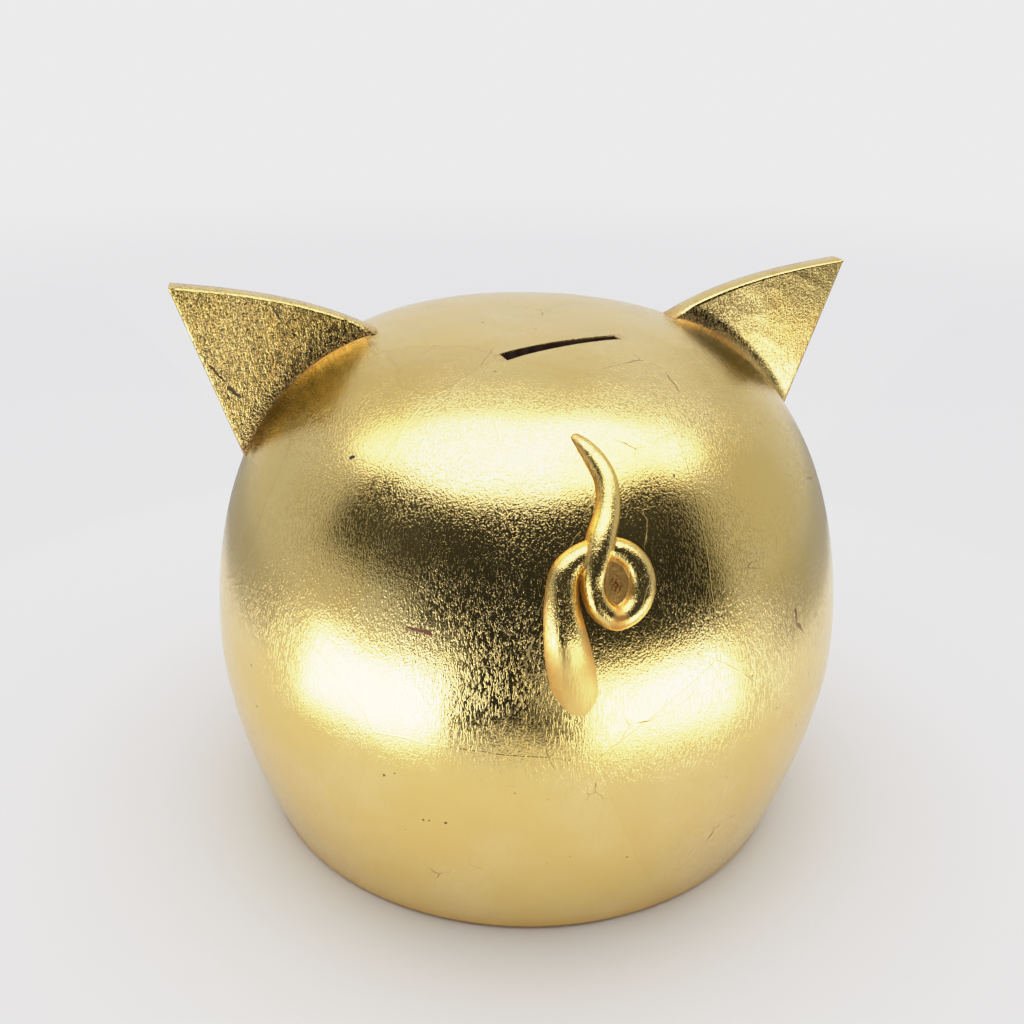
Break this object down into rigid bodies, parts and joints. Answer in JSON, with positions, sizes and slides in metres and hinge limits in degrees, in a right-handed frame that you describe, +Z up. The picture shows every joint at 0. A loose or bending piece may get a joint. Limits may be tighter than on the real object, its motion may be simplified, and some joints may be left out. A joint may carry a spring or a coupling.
{
  "type": "pig money bank",
  "caption": "Ball-shaped pig money bank with gilded surface, triangular slab ears, curled relief tail, coin slot in the crown and a rubber stopper in the flat base.",
  "frame": {"origin": "centre of the flat resting face under the base, on the axis of the turned body", "axes": "+Z up along the axis of the turned body; -Y towards the snout and +Y towards the tail; +X towards ear_right, the ear that is on the right when the pig is looked at from the front"},
  "size_m": [0.219, 0.225, 0.1795],
  "materials": {
    "gilded_shell": "imitation gold leaf over red-brown bole on lacquered turned wood, satin burnish with leaf laps, fine cracks and pinholes",
    "gilded_trim": "imitation gold leaf over red-brown bole, rubbed darker in the crevices",
    "dowel_wood": "bare turned hardwood",
    "stopper_rubber": "moulded black rubber, dull"
  },
  "bodies": {
    "body": {"upper_shell": "gilded_shell", "lower_shell": "gilded_shell", "ear_left": "gilded_trim", "ear_right": "gilded_trim", "ear_left_dowels": "dowel_wood", "ear_right_dowels": "dowel_wood", "tail": "gilded_trim", "snout": "gilded_trim", "snout_dowel": "dowel_wood", "eye_left": "gilded_trim", "eye_right": "gilded_trim"},
    "stopper": {"stopper": "stopper_rubber"}
  },
  "joints": [
    {"name": "stopper_pull", "type": "slide", "parent": "body", "child": "stopper", "axis": [0, 0, -1], "range_m": [0, 0.055]}
  ]
}
